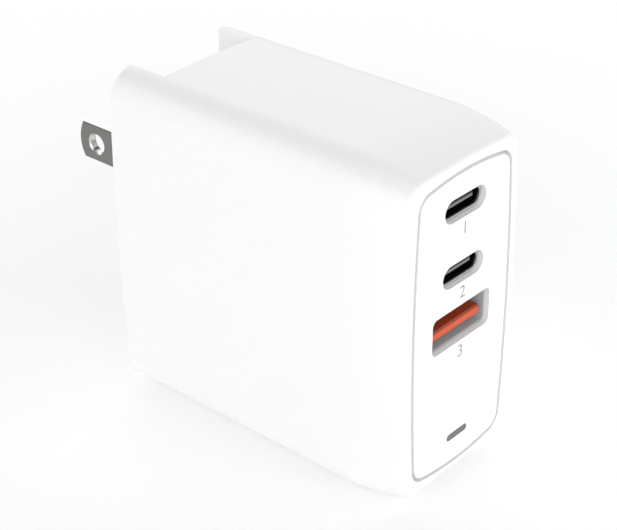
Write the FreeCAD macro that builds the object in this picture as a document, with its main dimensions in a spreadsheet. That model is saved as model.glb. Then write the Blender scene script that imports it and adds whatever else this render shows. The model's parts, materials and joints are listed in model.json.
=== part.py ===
import FreeCAD, Part
import math
import os

import Sketcher
from FreeCAD import Rotation, Vector

# Wall charger with a folding two-blade plug.
# Origin: middle of the flat underside, +Z up, ports face -Y, blades point to +Y. Millimetres.

sizes = {
    # Outer body
    "body_width": 29.7,
    "body_height": 55.0,
    "body_depth": 56.0,
    "wall": 2.0,
    "corner_radius": 5.0,
    "side_bow_radius": 536.0,
    "top_bow_radius": 247.0,
    "blend_inset": 2.6,
    "blend_length": 12.0,
    "blend_radius": 1.0,
    # Front panel and the opening that it sits in
    "panel_side_margin": 3.49,
    "panel_top_margin": 2.98,
    "panel_corner_radius": 2.87,
    "panel_side_bow_radius": 332.0,
    "panel_top_bow_radius": 47.75,
    "panel_thickness": 2.2,
    "panel_fit": 0.1,
    "groove_width": 0.58,
    "groove_depth": 0.9,
    "ledge_width": 0.6,
    "ledge_depth": 2.0,
    "room_margin": 0.6,
    # Plug pocket, pivot and rotor
    "pocket_width": 19.2,
    "pocket_depth": 7.44,
    "rear_edge_chamfer": 0.4,
    "pivot_inset": 2.33,
    "pivot_drop": 19.7,
    "rotor_radius": 5.65,
    "rotor_flat": 2.2,
    "rotor_edge_radius": 0.7,
    "rotor_gap": 0.4,
    "rotor_end_gap": 0.3,
    "rear_wall": 1.6,
    "trunnion_diameter": 3.0,
    "trunnion_length": 1.6,
    "trunnion_chamfer": 0.4,
    "trunnion_fit": 0.05,
    # Blades
    "blade_width": 6.35,
    "blade_thickness": 1.5,
    "blade_pitch": 12.7,
    "blade_reach": 16.0,
    "blade_rise": 1.49,
    "blade_tip_radius": 6.0,
    "blade_edge_chamfer": 0.25,
    "blade_hole_diameter": 3.2,
    "blade_hole_reach": 12.0,
    "blade_seat": 1.2,
    "tail_width": 3.6,
    # Contact springs behind the rotor
    "spring_width": 2.4,
    "spring_thickness": 0.4,
    "spring_half_height": 4.6,
    "spring_bump": 1.1,
    "spring_window_gap": 0.3,
    "spring_run_gap": 0.3,
    "strap_width": 2.0,
    "strap_rise": 7.4,
    "strap_tab": 2.0,
    # Ports
    "port_1_drop": 8.84,
    "port_2_drop": 19.2,
    "port_3_drop": 27.82,
    "shell_recess": 0.8,
    "shell_wall": 0.3,
    "connector_length": 10.4,
    "connector_fit": 0.02,
    "block_length": 3.6,
    "small_opening_width": 8.34,
    "small_opening_height": 2.56,
    "small_port_gap": 0.22,
    "small_tongue_width": 6.69,
    "small_tongue_thickness": 0.7,
    "small_tongue_recess": 0.6,
    "small_contact_width": 0.25,
    "small_contact_thickness": 0.06,
    "small_contact_pitch": 0.5,
    "small_contact_recess": 0.5,
    "wide_opening_width": 12.5,
    "wide_opening_height": 5.12,
    "wide_opening_radius": 0.6,
    "wide_port_gap": 0.15,
    "wide_tongue_width": 11.1,
    "wide_tongue_thickness": 1.25,
    "wide_tongue_gap": 2.51,
    "wide_tongue_recess": 0.2,
    "wide_tongue_chamfer": 0.3,
    "wide_contact_width": 1.0,
    "wide_contact_thickness": 0.1,
    "wide_contact_inner": 1.0,
    "wide_contact_outer": 3.5,
    "wide_contact_recess": 1.8,
    # Light slot
    "light_rise": 7.88,
    "light_width": 4.75,
    "light_height": 1.1,
    "light_fit": 0.05,
    "light_flange": 0.7,
    "light_flange_depth": 1.0,
    "light_gap": 0.2,
    "light_chip_length": 1.6,
    "light_chip_width": 0.8,
    "light_chip_depth": 0.6,
    # Boards and the stack behind the main board
    "board_gap": 0.2,
    "board_fit": 0.1,
    "board_corner_radius": 2.0,
    "port_board_thickness": 1.2,
    "main_board_thickness": 1.6,
    "rail_width": 1.0,
    "rail_hold": 0.9,
    "side_clearance": 2.35,
    "sheet_thickness": 0.3,
    "sheet_end_gap": 1.5,
    "sheet_rail_gap": 3.5,
    "sheet_margin": 3.0,
    "spreader_thickness": 0.6,
    "pad_thickness": 0.5,
    "pad_margin": 1.0,
    "chip_thickness": 0.9,
    "switch_length": 8.0,
    "switch_width": 6.0,
    "switch_inset": 12.0,
    "switch_rise": 20.0,
    "rectifier_length": 6.0,
    "rectifier_width": 5.0,
    "rectifier_offset": 12.0,
    "rectifier_drop": 20.0,
    "controller_length": 5.0,
    "controller_thickness": 0.9,
    "controller_rise": 16.0,
    "controller_offset": 4.0,
    # Columns of parts on the main board, as shares of its length
    "front_column": 0.175,
    "fuse_column": 0.19,
    "choke_column": 0.295,
    "bulk_column": 0.255,
    "part_gap": 0.6,
    "part_side_gap": 1.3,
    # Transformer
    "core_gap": 1.6,
    "core_width": 12.5,
    "core_plate": 3.0,
    "core_leg_share": 0.13,
    "core_post_share": 0.32,
    "bobbin_wall": 0.7,
    "bobbin_base": 1.5,
    "winding_thickness": 2.9,
    "winding_gap": 0.4,
    "winding_radius": 3.0,
    "flange_margin": 0.35,
    "coil_fit": 0.1,
    # Other parts on the main board; shares are of the room below the plug
    "choke_share": 0.57,
    "choke_bore_share": 0.49,
    "choke_height": 4.6,
    "choke_wire": 0.8,
    "choke_wire_angle": 132.0,
    "choke_fit": 0.05,
    "filter_share": 0.26,
    "filter_height": 11.5,
    "fuse_share": 0.195,
    "fuse_height": 7.6,
    "bridge_share": 0.24,
    "bridge_level": 0.4,
    "bridge_height": 1.5,
    "disc_diameter": 6.6,
    "disc_thickness": 3.4,
    "disc_lead": 1.5,
    "disc_lead_spread": 4.0,
    "disc_lead_width": 0.6,
    "output_diameter": 6.6,
    "output_height": 11.0,
    "inductor_height": 4.4,
}
small_contact_count = 12
flat = 1e-3

doc = FreeCAD.newDocument("wall_charger")
sheet = doc.addObject("Spreadsheet::Sheet", "sizes")
for row, (name, number) in enumerate(sizes.items(), start=1):
    sheet.set(f"A{row}", name)
    sheet.set(f"B{row}", str(number))
    sheet.setAlias(f"B{row}", name)
doc.recompute()


# A length that knows its number and how the sheet works it out
class Size:
    def __init__(self, number, text):
        self.number = number
        self.text = text

    def joined(self, sign, other, number):
        return Size(number, f"({self.text} {sign} {other.text})")

    def __add__(self, other):
        other = as_size(other)
        return self.joined("+", other, self.number + other.number)

    def __sub__(self, other):
        other = as_size(other)
        return self.joined("-", other, self.number - other.number)

    def __mul__(self, other):
        other = as_size(other)
        return self.joined("*", other, self.number * other.number)

    def __truediv__(self, other):
        other = as_size(other)
        return self.joined("/", other, self.number / other.number)

    def __neg__(self):
        return zero - self


def as_size(thing):
    if isinstance(thing, Size):
        return thing
    return Size(float(thing), str(float(thing)))


def root(size):
    return Size(math.sqrt(size.number), f"sqrt({size.text})")


def smaller(first, second):
    return Size(min(first.number, second.number), f"min({first.text}; {second.text})")


def larger(first, second):
    return Size(max(first.number, second.number), f"max({first.text}; {second.text})")


# Other short side of a right triangle
def leg(long_side, short_side):
    return root(long_side * long_side - short_side * short_side)


class Sizes:
    pass


zero = as_size(0)
s = Sizes()
for name in sizes:
    setattr(s, name, Size(float(getattr(sheet, name)), f"sizes.{name}"))

# Places that several pieces share
front = -s.body_depth / 2
rear = s.body_depth / 2
middle = s.body_height / 2
half_width = s.body_width / 2
inner_side = half_width - s.wall

panel_width = s.body_width - s.panel_side_margin * 2
panel_height = s.body_height - s.panel_top_margin * 2
ledge_front = front + s.panel_thickness
cavity_front = ledge_front + s.ledge_depth
panel_bow = s.panel_top_bow_radius - leg(s.panel_top_bow_radius, panel_width / 2)
throat_half_width = panel_width / 2 - s.ledge_width
throat_half_height = panel_height / 2 - s.ledge_width - panel_bow

pivot_y = rear - s.pivot_inset
pivot_z = s.body_height - s.pivot_drop
chamber_radius = s.rotor_radius + s.rotor_gap
cavity_rear = pivot_y - chamber_radius - s.rear_wall
room_top = pivot_z - chamber_radius - s.rear_wall
room_rear = rear - s.wall
blade_z = pivot_z + s.blade_rise
blade_sides = (-s.blade_pitch / 2, s.blade_pitch / 2)

port_heights = [s.body_height - s.port_1_drop, s.body_height - s.port_2_drop]
wide_height = s.body_height - s.port_3_drop
shell_front = front + s.shell_recess
port_board_front = shell_front + s.connector_length
port_board_rear = port_board_front + s.port_board_thickness
block_front = port_board_front - s.block_length

board_half_width = throat_half_width - s.board_gap
board_half_height = throat_half_height - s.board_gap
board_bottom = middle - board_half_height
board_top = middle + board_half_height
sheet_face = inner_side - s.side_clearance - s.sheet_thickness
spreader_face = sheet_face - s.spreader_thickness
pad_face = spreader_face - s.pad_thickness
solder_face = pad_face - s.chip_thickness
board_face = solder_face - s.main_board_thickness
spring_face = cavity_rear - s.spring_thickness
board_rear = spring_face - s.board_gap
board_room_rear = room_rear - s.board_gap

# Columns of parts on the main board from the ports to the back, between its two channels
room_length = board_room_rear - port_board_rear
room_floor = board_bottom + s.rail_hold + s.part_gap
room_ceiling = board_top - s.rail_hold - s.part_gap
low_ceiling = room_top - s.part_gap
low_height = low_ceiling - room_floor
part_height = board_face + throat_half_width - s.part_side_gap
column_names = ("front_column", "fuse_column", "choke_column", "bulk_column")
column_width = {name: room_length * getattr(s, name) for name in column_names}
column_gap = room_length / (len(column_names) + 1)
for width in column_width.values():
    column_gap = column_gap - width / (len(column_names) + 1)
column_middle = {}
column_end = port_board_rear
for name, width in column_width.items():
    column_middle[name] = column_end + column_gap + width / 2
    column_end = column_end + column_gap + width

subparts = []


def new_body(label, turn=None, place=None):
    body = doc.addObject("PartDesign::Body", label)
    body.Label = label
    if turn is not None:
        body.Placement.Rotation = turn
    if place is not None:
        for axis, size in zip("xyz", place):
            body.setExpression(f"Placement.Base.{axis}", size.text)
    subparts.append(body)
    return body


def new_sketch(body, plane, height=zero):
    sketch = body.newObject("Sketcher::SketchObject", f"{body.Label}_sketch")
    support = [item for item in body.Origin.OriginFeatures if item.Role == plane][0]
    sketch.AttachmentSupport = (support, [""])
    sketch.MapMode = "FlatFace"
    sketch.setExpression("AttachmentOffset.Base.z", height.text)
    return sketch


def limit(sketch, kind, *where, size):
    index = sketch.addConstraint(Sketcher.Constraint(kind, *where, size.number))
    sketch.setExpression(f"Constraints[{index}]", size.text)


def pin(sketch, item, point, x, y):
    limit(sketch, "DistanceX", -1, 1, item, point, size=x)
    limit(sketch, "DistanceY", -1, 1, item, point, size=y)


def draw_circle(sketch, x, y, diameter):
    centre = Vector(x.number, y.number, 0)
    circle = Part.Circle(centre, Vector(0, 0, 1), diameter.number / 2)
    item = sketch.addGeometry(circle)
    pin(sketch, item, 3, x, y)
    limit(sketch, "Diameter", item, size=diameter)


def arc_between(start, end, centre):
    radius = (start - centre).Length
    first = math.atan2(start.y - centre.y, start.x - centre.x)
    last = math.atan2(end.y - centre.y, end.x - centre.x)
    if last < first:
        last += 2 * math.pi
    return Part.ArcOfCircle(Part.Circle(centre, Vector(0, 0, 1), radius), first, last)


# Closed outline through corners (x, y), or (x, y, radius) where an arc leaves the corner.
# A negative radius turns the arc clockwise.
def draw_profile(sketch, corners):
    points = [Vector(corner[0].number, corner[1].number, 0) for corner in corners]
    ends = []
    for index, corner in enumerate(corners):
        start = points[index]
        end = points[(index + 1) % len(points)]
        if len(corner) == 2:
            item = sketch.addGeometry(Part.LineSegment(start, end))
            ends.append((item, 1, 2))
            continue
        radius = corner[2].number
        chord = end - start
        side = Vector(-chord.y, chord.x, 0).normalize()
        rise = math.sqrt(radius ** 2 - chord.Length ** 2 / 4)
        centre = start + chord / 2 + side * math.copysign(rise, radius)
        if radius > 0:
            item = sketch.addGeometry(arc_between(start, end, centre))
            ends.append((item, 1, 2))
        else:
            item = sketch.addGeometry(arc_between(end, start, centre))
            ends.append((item, 2, 1))
    for index, corner in enumerate(corners):
        item, start, end = ends[index]
        last_item, last_start, last_end = ends[index - 1]
        sketch.addConstraint(Sketcher.Constraint("Coincident", last_item, last_end, item, start))
        pin(sketch, item, start, corner[0], corner[1])
        if len(corner) == 3:
            radius = corner[2] if corner[2].number > 0 else -corner[2]
            limit(sketch, "Radius", item, size=radius)


def draw_rectangle(sketch, left, right, bottom, top):
    draw_profile(sketch, [(left, bottom), (right, bottom), (right, top), (left, top)])


# Rectangle about a middle point
def draw_block(sketch, half_length, half_breadth, x=zero, y=zero):
    draw_rectangle(sketch, x - half_length, x + half_length, y - half_breadth, y + half_breadth)


# Counter-clockwise loop of arcs joined by straight tangents: each arc is (x, y, radius, first angle)
def draw_round_loop(sketch, arcs, turn):
    items = []
    for x, y, radius, first in arcs:
        circle = Part.Circle(Vector(x.number, y.number, 0), Vector(0, 0, 1), radius.number)
        arc = Part.ArcOfCircle(circle, math.radians(first), math.radians(first + turn))
        items.append((sketch.addGeometry(arc), arc))
    for index, (item, arc) in enumerate(items):
        next_item, next_arc = items[(index + 1) % len(items)]
        line = sketch.addGeometry(Part.LineSegment(arc.EndPoint, next_arc.StartPoint))
        sketch.addConstraint(Sketcher.Constraint("Tangent", item, 2, line, 1))
        sketch.addConstraint(Sketcher.Constraint("Tangent", line, 2, next_item, 1))
    for (item, arc), (x, y, radius, first) in zip(items, arcs):
        pin(sketch, item, 3, x, y)
        limit(sketch, "Radius", item, size=radius)


def draw_rounded(sketch, left, right, bottom, top, radius):
    draw_round_loop(sketch, [
        (right - radius, bottom + radius, radius, 270),
        (right - radius, top - radius, radius, 0),
        (left + radius, top - radius, radius, 90),
        (left + radius, bottom + radius, radius, 180),
    ], 90)


def draw_stadium(sketch, x, y, width, height):
    reach = (width - height) / 2
    draw_round_loop(sketch, [
        (x + reach, y, height / 2, 270),
        (x - reach, y, height / 2, 90),
    ], 180)


def towards(centre, radius, point):
    return centre + (point - centre).normalize() * radius


# Point at two given distances from two centres, on the upper right side
def meeting_point(first, first_reach, second, second_reach):
    gap = second - first
    along = (first_reach ** 2 - second_reach ** 2 + gap.Length ** 2) / (2 * gap.Length)
    across = math.sqrt(first_reach ** 2 - along ** 2)
    base = first + gap * (along / gap.Length)
    side = Vector(-gap.y, gap.x, 0).normalize() * across
    return max(base + side, base - side, key=lambda point: point.x + point.y)


# Rounded rectangle whose sides bow outwards, about the height of its middle.
# With no lower bow its underside is a straight line, in two halves that meet at x = 0.
def draw_bowed(sketch, half, bottom, top, corner, side_bow, top_bow, bottom_bow=None):
    centre_height = (bottom + top) / 2
    mid = Vector(0, centre_height.number, 0)
    side_centre = Vector(half.number - side_bow.number, mid.y, 0)
    side_reach = side_bow.number - corner.number
    top_centre = Vector(0, top.number - top_bow.number, 0)
    upper = meeting_point(side_centre, side_reach, top_centre, top_bow.number - corner.number)
    if bottom_bow is None:
        drop = mid.y - bottom.number - corner.number
        lower = Vector(side_centre.x + math.sqrt(side_reach ** 2 - drop ** 2), mid.y - drop, 0)
        foot = Vector(lower.x, bottom.number, 0)
    else:
        lower = Vector(upper.x, 2 * mid.y - upper.y, 0)
        foot_centre = Vector(0, bottom.number + bottom_bow.number, 0)
        foot = towards(foot_centre, bottom_bow.number, lower)
    head = towards(top_centre, top_bow.number, upper)
    low_side = towards(side_centre, side_bow.number, lower)
    high_side = towards(side_centre, side_bow.number, upper)

    def mirror(point):
        return Vector(-point.x, point.y, 0)

    right = sketch.addGeometry(arc_between(low_side, high_side, side_centre))
    high_right = sketch.addGeometry(arc_between(high_side, head, upper))
    crown = sketch.addGeometry(arc_between(head, mirror(head), top_centre))
    high_left = sketch.addGeometry(arc_between(mirror(head), mirror(high_side), mirror(upper)))
    left = sketch.addGeometry(arc_between(mirror(high_side), mirror(low_side), mirror(side_centre)))
    low_left = sketch.addGeometry(arc_between(mirror(low_side), mirror(foot), mirror(lower)))
    loop = [right, high_right, crown, high_left, left, low_left]
    if bottom_bow is None:
        halfway = Vector(0, bottom.number, 0)
        loop.append(sketch.addGeometry(Part.LineSegment(mirror(foot), halfway)))
        loop.append(sketch.addGeometry(Part.LineSegment(halfway, foot)))
    else:
        loop.append(sketch.addGeometry(arc_between(mirror(foot), foot, foot_centre)))
    low_right = sketch.addGeometry(arc_between(foot, low_side, lower))
    loop.append(low_right)
    for item, next_item in zip(loop, loop[1:] + loop[:1]):
        meets_line = bottom_bow is None and item == loop[6] and next_item == loop[7]
        kind = "Coincident" if meets_line else "Tangent"
        sketch.addConstraint(Sketcher.Constraint(kind, item, 2, next_item, 1))
    pin(sketch, right, 3, half - side_bow, centre_height)
    pin(sketch, left, 3, side_bow - half, centre_height)
    pin(sketch, crown, 3, zero, top - top_bow)
    for item in (high_right, high_left, low_left, low_right):
        limit(sketch, "Radius", item, size=corner)
    for item in (right, left):
        limit(sketch, "Radius", item, size=side_bow)
    limit(sketch, "Radius", crown, size=top_bow)
    if bottom_bow is None:
        sketch.addConstraint(Sketcher.Constraint("Horizontal", loop[6]))
        sketch.addConstraint(Sketcher.Constraint("Horizontal", loop[7]))
        pin(sketch, loop[7], 1, zero, bottom)
    else:
        pin(sketch, loop[6], 3, zero, bottom + bottom_bow)
        limit(sketch, "Radius", loop[6], size=bottom_bow)


# Pad or Pocket of a drawn outline between two distances along the plane's own axis
def extrude(body, kind, plane, start, end, draw, *shape):
    along_normal = plane != "XZ_Plane"
    sketch = new_sketch(body, plane, start if along_normal else -start)
    draw(sketch, *shape)
    before = body.Shape.Volume if kind == "Pocket" else 0
    feature = body.newObject(f"PartDesign::{kind}", f"{body.Label}_{kind.lower()}")
    feature.Profile = (sketch, [""])
    feature.setExpression("Length", (end - start).text)
    feature.Reversed = (kind == "Pad") != along_normal
    doc.recompute()
    if kind == "Pocket" and not feature.Shape.Volume < before:
        raise RuntimeError(f"{feature.Name} cuts nothing")
    return feature


def add(body, plane, start, end, draw, *shape):
    return extrude(body, "Pad", plane, start, end, draw, *shape)


def cut(body, plane, start, end, draw, *shape):
    return extrude(body, "Pocket", plane, start, end, draw, *shape)


# Fillet or Chamfer on the edges of the body's last solid that pass the test
def dress(body, kind, size, test):
    base = body.Tip
    names = [f"Edge{index}" for index, edge in enumerate(base.Shape.Edges, start=1) if test(edge)]
    feature = body.newObject(f"PartDesign::{kind}", f"{body.Label}_{kind.lower()}")
    feature.Base = (base, names)
    feature.setExpression("Radius" if kind == "Fillet" else "Size", size.text)
    doc.recompute()
    return feature


def near(number, size):
    return abs(number - size.number) < flat


def spans(edge):
    box = edge.BoundBox
    return {"x": (box.XMin, box.XMax), "y": (box.YMin, box.YMax), "z": (box.ZMin, box.ZMax)}


def lies_at(edge, axis, size):
    low, high = spans(edge)[axis]
    return near(low, size) and near(high, size)


def runs_along(edge, axis):
    return all(high - low < flat for name, (low, high) in spans(edge).items() if name != axis)


def make_housing():
    body = new_body("housing")
    outline = (half_width, zero, s.body_height, s.corner_radius, s.side_bow_radius, s.top_bow_radius)
    add(body, "XZ_Plane", front, rear, draw_bowed, *outline)

    # Soft blend round the front: a small arc at the face runs into a long shallow one
    path = new_sketch(body, "XZ_Plane", -front)
    draw_bowed(path, *outline)
    section = new_sketch(body, "YZ_Plane")
    small = s.blend_radius
    inset = s.blend_inset
    length = s.blend_length - small
    large = (length * length + inset * inset - small * small) / ((inset - small) * 2)
    ratio = small / (large - small)
    draw_profile(section, [
        (front, inset, small),
        (front + small - length * ratio, inset - (large - inset) * ratio, large),
        (front + s.blend_length, zero),
        (front + s.blend_length, -s.wall),
        (front - s.wall, -s.wall),
        (front - s.wall, inset),
    ])
    blend = body.newObject("PartDesign::SubtractivePipe", "housing_blend")
    blend.Profile = section
    blend.Spine = (path, [f"Edge{index + 1}" for index in range(path.GeometryCount)])
    doc.recompute()
    dress(body, "Chamfer", s.rear_edge_chamfer, lambda edge: lies_at(edge, "y", rear))

    # Panel recess, the throat behind its ledge, and the room for the boards
    cut(body, "XZ_Plane", front, ledge_front, draw_panel, zero)
    cut(body, "XZ_Plane", ledge_front, cavity_front, draw_panel, s.ledge_width)
    cut(body, "XZ_Plane", cavity_front, cavity_rear, draw_bowed, inner_side, s.wall,
        s.body_height - s.wall, s.corner_radius - s.wall, s.side_bow_radius - s.wall,
        s.top_bow_radius - s.wall)
    room_side = inner_side - s.room_margin
    cut(body, "XZ_Plane", cavity_rear, room_rear, draw_rounded, -room_side, room_side, s.wall,
        room_top, s.corner_radius - s.wall)

    # Plug pocket, open at the top and the back, with a round chamber for the rotor
    pocket_side = s.pocket_width / 2
    pocket_floor = rear - s.pocket_depth
    cut(body, "YZ_Plane", -pocket_side, pocket_side, draw_profile, [
        (pocket_floor, pivot_z + leg(chamber_radius, pivot_y - pocket_floor), chamber_radius),
        (rear, pivot_z - leg(chamber_radius, s.pivot_inset)),
        (rear + s.wall, pivot_z - leg(chamber_radius, s.pivot_inset)),
        (rear + s.wall, s.body_height + s.wall),
        (pocket_floor, s.body_height + s.wall),
    ])
    bearing = pocket_side + s.trunnion_length
    cut(body, "YZ_Plane", -bearing, bearing, draw_circle, pivot_y, pivot_z,
        s.trunnion_diameter + s.trunnion_fit * 2)
    window_width = s.spring_width / 2 + s.spring_window_gap
    window_height = s.spring_bump + s.rear_wall / 2 + s.spring_window_gap
    for side in blade_sides:
        cut(body, "XZ_Plane", cavity_rear, pivot_y - s.rotor_radius, draw_rectangle,
            side - window_width, side + window_width, blade_z - window_height, blade_z + window_height)

    # Channels that hold the main board by its long edges
    channel_front = port_board_rear + s.board_gap
    upper = (s.body_height - s.wall / 2, board_top - s.rail_hold, board_top + s.board_fit)
    lower = (s.wall / 2, board_bottom + s.rail_hold, board_bottom - s.board_fit)
    add(body, "XZ_Plane", channel_front, cavity_rear, draw_channel, *upper)
    add(body, "XZ_Plane", channel_front, room_rear, draw_channel, *lower)


def draw_channel(sketch, base, lip, seat):
    inner = board_face - s.board_fit
    outer = solder_face + s.board_fit
    draw_profile(sketch, [
        (inner - s.rail_width, base),
        (inner - s.rail_width, lip),
        (inner, lip),
        (inner, seat),
        (outer, seat),
        (outer, lip),
        (outer + s.rail_width, lip),
        (outer + s.rail_width, base),
    ])


# The panel opening's outline, or one that lies inside it by an even margin
def draw_panel(sketch, margin):
    half_height = panel_height / 2 - margin
    draw_bowed(sketch, panel_width / 2 - margin, middle - half_height, middle + half_height,
               s.panel_corner_radius - margin, s.panel_side_bow_radius - margin,
               s.panel_top_bow_radius - margin, s.panel_top_bow_radius - margin)


def draw_small_port(sketch, height, margin):
    draw_stadium(sketch, zero, height, s.small_opening_width + margin * 2,
                 s.small_opening_height + margin * 2)


def draw_wide_port(sketch, margin):
    side = s.wide_opening_width / 2 + margin
    rise = s.wide_opening_height / 2 + margin
    draw_rounded(sketch, -side, side, wide_height - rise, wide_height + rise,
                 s.wide_opening_radius + margin)


def draw_light(sketch, margin):
    draw_stadium(sketch, zero, s.light_rise, s.light_width + margin * 2, s.light_height + margin * 2)


def make_front_panel():
    body = new_body("front_panel")
    groove_floor = front + s.groove_depth
    add(body, "XZ_Plane", front, groove_floor, draw_panel, s.groove_width)
    add(body, "XZ_Plane", groove_floor, ledge_front, draw_panel, s.panel_fit)
    for height in port_heights:
        cut(body, "XZ_Plane", front, ledge_front, draw_small_port, height,
            s.shell_wall + s.small_port_gap)
    cut(body, "XZ_Plane", front, ledge_front, draw_wide_port, s.shell_wall + s.wide_port_gap)
    cut(body, "XZ_Plane", front, ledge_front, draw_light, s.light_fit)


def make_light_pipe():
    body = new_body("light_pipe")
    flange_rear = ledge_front + s.light_flange_depth
    stem_end = port_board_front - s.light_chip_depth - s.light_gap
    add(body, "XZ_Plane", front, ledge_front, draw_light, zero)
    add(body, "XZ_Plane", ledge_front, flange_rear, draw_block, s.light_width / 2 + s.light_flange,
        s.light_height / 2 + s.light_flange, zero, s.light_rise)
    add(body, "XZ_Plane", flange_rear, stem_end, draw_block, (s.light_width - s.light_height) / 2,
        s.light_height / 2, zero, s.light_rise)
    chip = new_body("light_chip")
    add(chip, "XZ_Plane", port_board_front - s.light_chip_depth, port_board_front, draw_block,
        s.light_chip_length / 2, s.light_chip_width / 2, zero, s.light_rise)


def make_contacts(label, places, size):
    strips = []
    for index, place in enumerate(places):
        strip = doc.addObject("Part::Box", f"{label}_strip_{index + 1}")
        for name, length in zip(("Length", "Width", "Height"), size):
            strip.setExpression(name, length.text)
        for axis, start in zip("xyz", place):
            strip.setExpression(f"Placement.Base.{axis}", start.text)
        strips.append(strip)
    group = doc.addObject("Part::Compound", label)
    group.Label = label
    group.Links = strips
    subparts.append(group)


def make_small_port(number, height):
    shell = new_body(f"usb_c_shell_{number}")
    add(shell, "XZ_Plane", shell_front, port_board_front, draw_small_port, height, s.shell_wall)
    cut(shell, "XZ_Plane", shell_front, port_board_front, draw_small_port, height, zero)

    tongue = new_body(f"usb_c_tongue_{number}")
    tongue_front = shell_front + s.small_tongue_recess
    side = s.small_tongue_width / 2
    rise = s.small_tongue_thickness / 2
    add(tongue, "XZ_Plane", block_front, port_board_front, draw_small_port, height, -s.connector_fit)
    add(tongue, "XZ_Plane", tongue_front, block_front, draw_rectangle, -side, side,
        height - rise, height + rise)

    strip_front = tongue_front + s.small_contact_recess
    places = []
    for index in range(small_contact_count):
        offset = index - (small_contact_count - 1) / 2
        left = s.small_contact_pitch * offset - s.small_contact_width / 2
        places.append((left, strip_front, height + rise))
        places.append((left, strip_front, height - rise - s.small_contact_thickness))
    make_contacts(f"usb_c_contacts_{number}", places,
                  (s.small_contact_width, block_front - strip_front, s.small_contact_thickness))


def make_wide_port():
    shell = new_body("usb_a_shell")
    add(shell, "XZ_Plane", shell_front, port_board_front, draw_wide_port, s.shell_wall)
    cut(shell, "XZ_Plane", shell_front, port_board_front, draw_wide_port, zero)

    tongue = new_body("usb_a_tongue")
    tongue_front = shell_front + s.wide_tongue_recess
    side = s.wide_tongue_width / 2
    top = wide_height + s.wide_opening_height / 2 - s.wide_tongue_gap
    bottom = top - s.wide_tongue_thickness
    add(tongue, "XZ_Plane", block_front, port_board_front, draw_wide_port, -s.connector_fit)
    add(tongue, "YZ_Plane", -side, side, draw_profile, [
        (tongue_front, bottom),
        (block_front, bottom),
        (block_front, top),
        (tongue_front + s.wide_tongue_chamfer, top),
        (tongue_front, top - s.wide_tongue_chamfer),
    ])

    strip_front = tongue_front + s.wide_contact_recess
    offsets = (-s.wide_contact_outer, -s.wide_contact_inner, s.wide_contact_inner, s.wide_contact_outer)
    places = [(offset - s.wide_contact_width / 2, strip_front, top) for offset in offsets]
    make_contacts("usb_a_contacts", places,
                  (s.wide_contact_width, block_front - strip_front, s.wide_contact_thickness))


def make_plug_rotor():
    body = new_body("plug_rotor")
    end = s.pocket_width / 2 - s.rotor_end_gap
    flat_end = leg(s.rotor_radius, s.rotor_flat)
    rear_face = pivot_y + s.rotor_flat
    lower_face = pivot_z - s.rotor_flat
    add(body, "YZ_Plane", -end, end, draw_profile, [
        (rear_face, pivot_z + flat_end, s.rotor_radius),
        (pivot_y - flat_end, lower_face),
        (rear_face, lower_face),
    ])
    dress(body, "Fillet", s.rotor_edge_radius,
          lambda edge: lies_at(edge, "y", rear_face) and lies_at(edge, "z", lower_face))
    for start, stop in ((end, end + s.trunnion_length), (-end - s.trunnion_length, -end)):
        add(body, "YZ_Plane", start, stop, draw_circle, pivot_y, pivot_z, s.trunnion_diameter)
    dress(body, "Chamfer", s.trunnion_chamfer,
          lambda edge: abs(edge.BoundBox.XMin) > end.number + flat and edge.BoundBox.XLength < flat)

    # Slots for the blades: a seat at the back, a narrower way through for the tail
    seat = rear_face - s.blade_seat
    for side in blade_sides:
        cut(body, "YZ_Plane", side - s.blade_thickness / 2, side + s.blade_thickness / 2, draw_profile, [
            (seat, blade_z - s.blade_width / 2),
            (rear + s.wall, blade_z - s.blade_width / 2),
            (rear + s.wall, blade_z + s.blade_width / 2),
            (seat, blade_z + s.blade_width / 2),
            (seat, blade_z + s.tail_width / 2),
            (pivot_y - chamber_radius, blade_z + s.tail_width / 2),
            (pivot_y - chamber_radius, blade_z - s.tail_width / 2),
            (seat, blade_z - s.tail_width / 2),
        ])


def make_blade(label, side):
    body = new_body(label)
    seat = pivot_y + s.rotor_flat - s.blade_seat
    low = blade_z - s.blade_width / 2
    high = blade_z + s.blade_width / 2
    tip = rear + s.blade_reach
    tip_start = tip - s.blade_tip_radius + leg(s.blade_tip_radius, s.blade_width / 2)
    tail_high = s.blade_rise + s.tail_width / 2
    tail_low = s.blade_rise - s.tail_width / 2
    start = side - s.blade_thickness / 2
    end = side + s.blade_thickness / 2
    add(body, "YZ_Plane", start, end, draw_profile, [
        (seat, low),
        (tip_start, low, s.blade_tip_radius),
        (tip_start, high),
        (seat, high),
        (seat, pivot_z + tail_high),
        (pivot_y - leg(s.rotor_radius, tail_high), pivot_z + tail_high, s.rotor_radius),
        (pivot_y - leg(s.rotor_radius, tail_low), pivot_z + tail_low),
        (seat, pivot_z + tail_low),
    ])
    cut(body, "YZ_Plane", start, end, draw_circle, rear + s.blade_hole_reach, blade_z,
        s.blade_hole_diameter)
    dress(body, "Chamfer", s.blade_edge_chamfer, lambda edge: is_blade_rim(edge, low, high, tip))


def is_blade_rim(edge, low, high, tip):
    box = edge.BoundBox
    long_side = runs_along(edge, "y") and (near(box.ZMin, low) or near(box.ZMin, high))
    round_tip = near(box.YMax, tip) and box.XLength < flat
    return long_side or round_tip


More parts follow.
